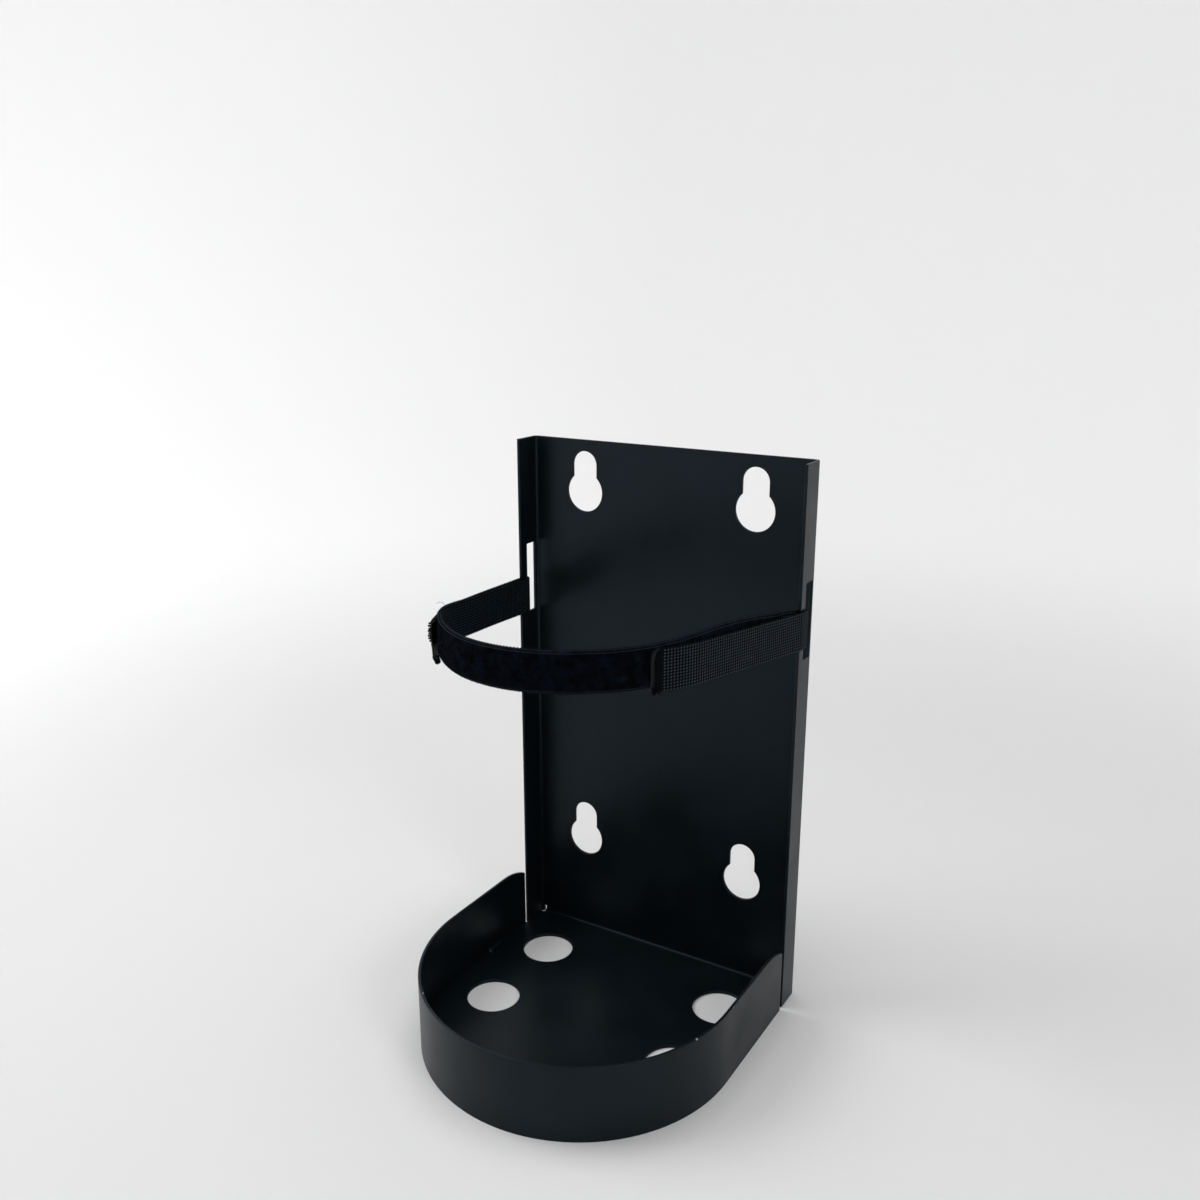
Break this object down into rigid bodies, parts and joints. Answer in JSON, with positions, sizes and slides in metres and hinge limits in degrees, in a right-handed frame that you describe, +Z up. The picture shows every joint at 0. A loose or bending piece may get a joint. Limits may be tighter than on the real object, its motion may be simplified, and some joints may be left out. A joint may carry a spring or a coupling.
{
  "type": "gas cylinder bracket",
  "caption": "Wall or floor bracket for a gas cylinder: folded steel back with keyholes and side flanges, a round-fronted tray and a hook-and-loop strap.",
  "frame": {"origin": "on the held cylinder's axis, at the underside of the tray", "axes": "+Z up, +Y towards the wall, +X to the right as seen from the front"},
  "size_m": [0.179, 0.18, 0.311],
  "materials": {
    "powder_coat": "satin black powder coat on steel sheet",
    "webbing": "plain-woven black nylon webbing",
    "loop_pile": "brushed black nylon loop pile",
    "hook_tape": "black nylon hook tape"
  },
  "bodies": {
    "root": {"folded_body": "powder_coat", "tray_wall": "powder_coat", "weld_beads": "powder_coat", "strap_webbing": "webbing", "loop_tape": "loop_pile", "hook_tape_right": "hook_tape", "hook_tape_left": "hook_tape"}
  },
  "joints": []
}
